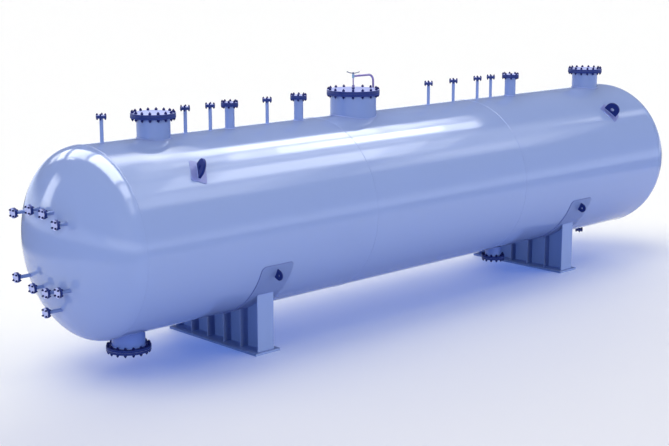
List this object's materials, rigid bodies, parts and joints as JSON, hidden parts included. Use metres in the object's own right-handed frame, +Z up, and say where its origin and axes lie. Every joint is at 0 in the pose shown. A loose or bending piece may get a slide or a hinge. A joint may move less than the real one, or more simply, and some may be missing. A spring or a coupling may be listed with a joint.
{
  "type": "horizontal settling tank",
  "caption": "Long horizontal cylindrical settling tank with dished heads on welded saddles, with manways, blanked nozzles and lifting lugs along its crown, end and belly.",
  "frame": {"origin": "centre of the left saddle's base plate, on the ground", "axes": "+X along the tank, from the end with the gauge nozzles towards the plain end; +Z up; -Y is the near side in the picture"},
  "size_m": [14.87, 3.007, 4.2931],
  "materials": {
    "shell_paint": "gloss",
    "neck_paint": "gloss",
    "flange_paint": "satin",
    "cover_paint": "satin",
    "gasket": "matte",
    "lug_paint": "satin",
    "saddle_paint": "satin",
    "arm_paint": "satin",
    "fasteners": "satin"
  },
  "bodies": {
    "root": {"arm_sleeve": "arm_paint", "arm_socket": "arm_paint", "belly_manway_cover": "cover_paint", "belly_manway_flange": "flange_paint", "belly_manway_neck": "neck_paint", "gaskets": "gasket", "gauge_nozzle_blinds": "cover_paint", "gauge_nozzle_flanges": "flange_paint", "gauge_nozzle_necks": "neck_paint", "left_head": "shell_paint", "left_manway_cover": "cover_paint", "left_manway_flange": "flange_paint", "left_manway_neck": "neck_paint", "left_saddle_base": "saddle_paint", "left_saddle_ribs": "saddle_paint", "left_saddle_web": "saddle_paint", "left_shell_course": "shell_paint", "left_wear_plate": "saddle_paint", "lifting_arm": "arm_paint", "lifting_lug_pads": "shell_paint", "lifting_lugs": "lug_paint", "lifting_screw": "arm_paint", "middle_manway_cover": "cover_paint", "middle_manway_flange": "flange_paint", "middle_manway_neck": "neck_paint", "middle_shell_course": "shell_paint", "process_nozzle_blinds": "cover_paint", "process_nozzle_flanges": "flange_paint", "process_nozzle_necks": "neck_paint", "right_head": "shell_paint", "right_manway_cover": "cover_paint", "right_manway_flange": "flange_paint", "right_manway_neck": "neck_paint", "right_saddle_base": "saddle_paint", "right_saddle_ribs": "saddle_paint", "right_saddle_web": "saddle_paint", "right_shell_course": "shell_paint", "right_wear_plate": "saddle_paint", "saddle_lugs": "lug_paint", "screw_handle": "arm_paint", "small_nozzle_blinds": "cover_paint", "small_nozzle_flanges": "flange_paint", "small_nozzle_necks": "neck_paint"}
  },
  "joints": []
}
